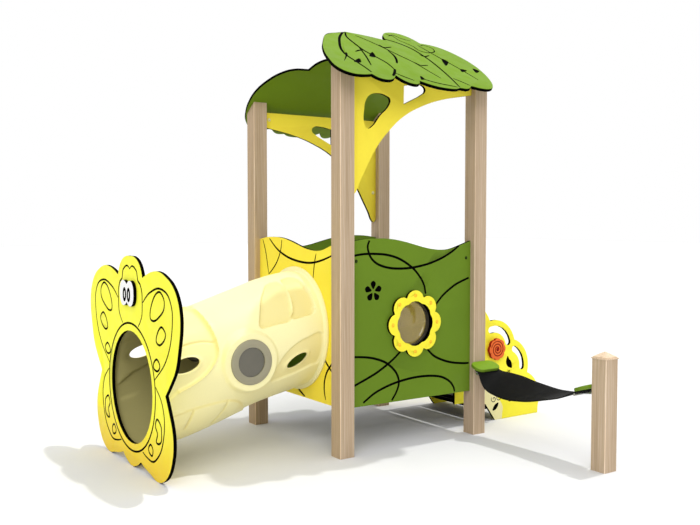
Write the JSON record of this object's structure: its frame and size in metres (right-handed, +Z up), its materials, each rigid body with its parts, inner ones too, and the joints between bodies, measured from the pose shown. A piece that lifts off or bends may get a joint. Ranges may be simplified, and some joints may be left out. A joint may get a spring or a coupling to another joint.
{
  "type": "canopy play structure",
  "caption": "Toddler play tower with a leaf-shaped roof, a crawl tunnel that ends in a butterfly gate, a low stair with cloud-shaped sides, a bubble window and a hanging sling.",
  "frame": {"origin": "middle of the footprint, on the ground", "axes": "+X from the tunnel towards the stair, +Y from the sling towards the back, +Z up"},
  "size_m": [2.7982, 2.2567, 2.4888],
  "materials": {
    "timber": "clear stain",
    "yellow": "satin, black core",
    "green": "satin, black core",
    "leaf": "satin, black core",
    "cream": "moulded",
    "orange": "satin",
    "white": "satin, black core",
    "grey": "satin",
    "smoke": "tinted, clear",
    "rubber": "matt",
    "steel": "galvanised",
    "deck": "powder coat"
  },
  "bodies": {
    "structure": {"post_front_left": "timber", "post_front_right": "timber", "post_back_left": "timber", "post_back_right": "timber", "post_short": "timber", "post_short_cap": "timber", "panel_left": "yellow", "panel_front": "green", "panel_back": "green", "arch_front": "yellow", "arch_back": "yellow", "roof_front": "leaf", "roof_back": "leaf", "clip_left_front_upper": "steel", "clip_left_front_lower": "steel", "clip_left_back_upper": "steel", "clip_left_back_lower": "steel", "clip_front_left_upper": "steel", "clip_front_left_lower": "steel", "clip_front_right_upper": "steel", "clip_front_right_lower": "steel", "clip_back_left_upper": "steel", "clip_back_left_lower": "steel", "clip_back_right_upper": "steel", "clip_back_right_lower": "steel", "deck_sheet": "deck", "deck_rail_left": "steel", "deck_rail_right": "steel", "deck_joist_front": "steel", "deck_joist_middle": "steel", "deck_joist_back": "steel", "tunnel_body": "cream", "porthole_pane_front": "smoke", "porthole_pane_back": "smoke", "porthole_ring_front": "grey", "porthole_ring_back": "grey", "butterfly_gate": "yellow", "butterfly_eyes": "white", "window_flower_ring": "yellow", "window_bubble": "smoke", "window_clamp_ring": "rubber", "stair_side_front": "yellow", "stair_side_back": "yellow", "tread_upper": "deck", "tread_lower": "deck", "stair_clip_front": "steel", "stair_clip_back": "steel", "spinner_spacer": "rubber", "spinner_axle": "steel", "sling_sheet": "rubber", "sling_cover_tower": "leaf", "sling_cover_post": "leaf", "sling_hanger_tower": "steel", "sling_hanger_post": "steel"},
    "spinner": {"flower_spinner": "orange"}
  },
  "joints": [
    {"name": "flower_spin", "type": "hinge", "parent": "structure", "child": "spinner", "pos_m": [0.97515, 0.07196, 0.474], "axis": [0, 1, 0], "continuous": true}
  ]
}
